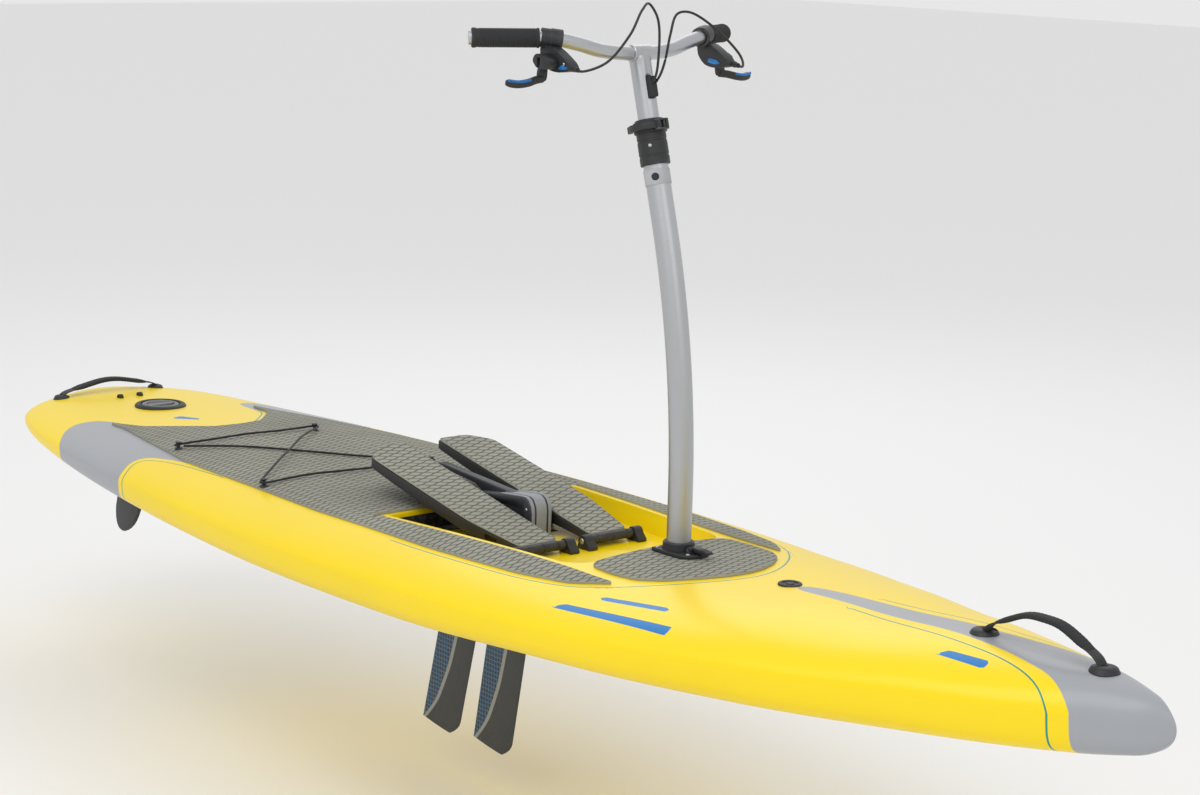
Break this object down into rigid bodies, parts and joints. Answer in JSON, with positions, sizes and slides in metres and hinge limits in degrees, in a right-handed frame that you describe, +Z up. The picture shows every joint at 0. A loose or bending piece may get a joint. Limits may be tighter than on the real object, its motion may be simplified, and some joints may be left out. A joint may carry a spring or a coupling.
{
  "type": "pedal board",
  "caption": "Stand-up pedal board with a handlebar column, two stepping pedals, swinging fins under the hull, a rudder and a round stern hatch.",
  "frame": {"origin": "on the flat keel face under the hull, on the centreline, 150 mm forward of amidships and just forward of the drive well", "axes": "+X to the bow, +Y to port, +Z up"},
  "size_m": [3.2, 0.8276, 1.4972],
  "materials": {
    "hull_paint": "gloss yellow paint with silver grey ends",
    "foam_pad": "matt grooved foam",
    "black_plastic": "matt moulded",
    "grey_plastic": "satin moulded",
    "satin_aluminium": "satin",
    "label_grey": "satin film",
    "webbing": "padded webbing",
    "soft_rubber": "matt",
    "cord_black": "braided sleeve",
    "fin_plastic": "charcoal with a blue mesh print",
    "steel": "brushed"
  },
  "bodies": {
    "hull": {"hull": "hull_paint", "main_deck_pad": "foam_pad", "bow_deck_pad": "foam_pad", "hatch_ring": "black_plastic", "vent_plug": "black_plastic", "leash_eye_starboard": "black_plastic", "leash_eye_port": "black_plastic", "bow_handle_cap_aft": "black_plastic", "bow_handle_cap_front": "black_plastic", "stern_handle_cap_starboard": "black_plastic", "stern_handle_cap_port": "black_plastic", "cord_hook_1": "black_plastic", "cord_hook_2": "black_plastic", "cord_hook_3": "black_plastic", "cord_hook_4": "black_plastic", "column_base_plate": "black_plastic", "height_collar": "black_plastic", "drive_frame": "black_plastic", "rudder_bearing": "black_plastic", "bow_handle_strap": "webbing", "stern_handle_strap": "webbing", "elastic_cord": "cord_black", "column_lower": "satin_aluminium", "column_band": "label_grey", "rocker_shaft": "steel", "fin_shaft": "steel", "axle_bracket_inner_starboard": "black_plastic", "axle_bracket_outer_starboard": "black_plastic", "pedal_axle_starboard": "steel", "axle_bracket_inner_port": "black_plastic", "axle_bracket_outer_port": "black_plastic", "pedal_axle_port": "steel"},
    "hatch_cover": {"hatch_cover": "grey_plastic"},
    "height_lever": {"height_lever": "black_plastic"},
    "column_latch": {"column_latch": "black_plastic"},
    "fin_front": {"fin_front_blade": "fin_plastic", "fin_front_hub": "black_plastic"},
    "fin_rear": {"fin_rear_blade": "fin_plastic", "fin_rear_hub": "black_plastic"},
    "rudder": {"rudder": "black_plastic"},
    "handlebar": {"handlebar": "satin_aluminium", "stem": "satin_aluminium", "cable_grommet": "soft_rubber", "grip_starboard": "soft_rubber", "grip_port": "soft_rubber", "lever_housing_starboard": "black_plastic", "lever_housing_port": "black_plastic", "cable_starboard": "cord_black", "cable_port": "cord_black"},
    "pedal_starboard": {"pedal_tray_starboard": "black_plastic", "pedal_tread_starboard": "foam_pad"},
    "rocker_starboard": {"rocker_starboard": "black_plastic"},
    "lever_starboard": {"brake_lever_starboard": "black_plastic"},
    "drive_latch_starboard": {"drive_latch_starboard": "black_plastic"},
    "pedal_port": {"pedal_tray_port": "black_plastic", "pedal_tread_port": "foam_pad"},
    "rocker_port": {"rocker_port": "black_plastic"},
    "lever_port": {"brake_lever_port": "black_plastic"},
    "drive_latch_port": {"drive_latch_port": "black_plastic"}
  },
  "joints": [
    {"name": "pedal_starboard_step", "type": "hinge", "parent": "hull", "child": "pedal_starboard", "pos_m": [0.055, 0, 0.124], "axis": [0, 1, 0], "range_deg": [-4.5, 4.5]},
    {"name": "pedal_port_step", "type": "hinge", "parent": "hull", "child": "pedal_port", "pos_m": [0.055, 0, 0.124], "axis": [0, 1, 0], "range_deg": [-4.5, 4.5]},
    {"name": "rocker_starboard_swing", "type": "hinge", "parent": "hull", "child": "rocker_starboard", "pos_m": [-0.12, 0, 0.09], "axis": [0, 1, 0], "range_deg": [-11.4, 11.4]},
    {"name": "rocker_port_swing", "type": "hinge", "parent": "hull", "child": "rocker_port", "pos_m": [-0.12, 0, 0.09], "axis": [0, 1, 0], "range_deg": [-11.4, 11.4]},
    {"name": "fin_front_sweep", "type": "hinge", "parent": "hull", "child": "fin_front", "pos_m": [-0.12, 0, -0.014], "axis": [1, 0, 0], "range_deg": [-63.5, 63.5]},
    {"name": "fin_rear_sweep", "type": "hinge", "parent": "hull", "child": "fin_rear", "pos_m": [-0.27, 0, -0.014], "axis": [1, 0, 0], "range_deg": [-63.5, 63.5]},
    {"name": "lever_starboard_pull", "type": "hinge", "parent": "handlebar", "child": "lever_starboard", "pos_m": [0.176, -0.208, 1.035], "axis": [-1, 0, 0], "range_deg": [-14, 14]},
    {"name": "lever_port_pull", "type": "hinge", "parent": "handlebar", "child": "lever_port", "pos_m": [0.176, 0.208, 1.035], "axis": [1, 0, 0], "range_deg": [-14, 14]},
    {"name": "rudder_turn", "type": "hinge", "parent": "hull", "child": "rudder", "pos_m": [-1.552, 0, 0.04], "axis": [0, 0, 1], "range_deg": [-35.5, 35.5]},
    {"name": "handlebar_height", "type": "slide", "parent": "hull", "child": "handlebar", "axis": [-0.2672, 0, 0.9636], "range_m": [-0.02, 0.1]},
    {"name": "height_lever_open", "type": "hinge", "parent": "hull", "child": "height_lever", "pos_m": [0.2621, -0.013, 0.9308], "axis": [-0.2672, 0, 0.9636], "range_deg": [0, 95]},
    {"name": "column_latch_open", "type": "hinge", "parent": "hull", "child": "column_latch", "pos_m": [0.378, 0, 0.178], "axis": [0, -1, 0], "range_deg": [0, 100]},
    {"name": "drive_latch_starboard_turn", "type": "hinge", "parent": "hull", "child": "drive_latch_starboard", "pos_m": [-0.138, -0.088, 0.11], "axis": [0, 0, 1], "range_deg": [0, 90]},
    {"name": "drive_latch_port_turn", "type": "hinge", "parent": "hull", "child": "drive_latch_port", "pos_m": [-0.138, 0.088, 0.11], "axis": [0, 0, -1], "range_deg": [0, 90]},
    {"name": "hatch_cover_twist", "type": "hinge", "parent": "hull", "child": "hatch_cover", "pos_m": [-1.45, 0, 0.12], "axis": [0, 0, 1], "range_deg": [0, 90]}
  ],
  "couplings": [
    {"joint": "pedal_port_step", "follows": "pedal_starboard_step", "ratio": -1},
    {"joint": "rocker_starboard_swing", "follows": "pedal_starboard_step", "ratio": 2.5},
    {"joint": "rocker_port_swing", "follows": "pedal_starboard_step", "ratio": -2.5},
    {"joint": "fin_front_sweep", "follows": "pedal_starboard_step", "ratio": 14},
    {"joint": "fin_rear_sweep", "follows": "pedal_starboard_step", "ratio": -14},
    {"joint": "lever_port_pull", "follows": "lever_starboard_pull", "ratio": -1},
    {"joint": "rudder_turn", "follows": "lever_starboard_pull", "ratio": 2.5}
  ]
}
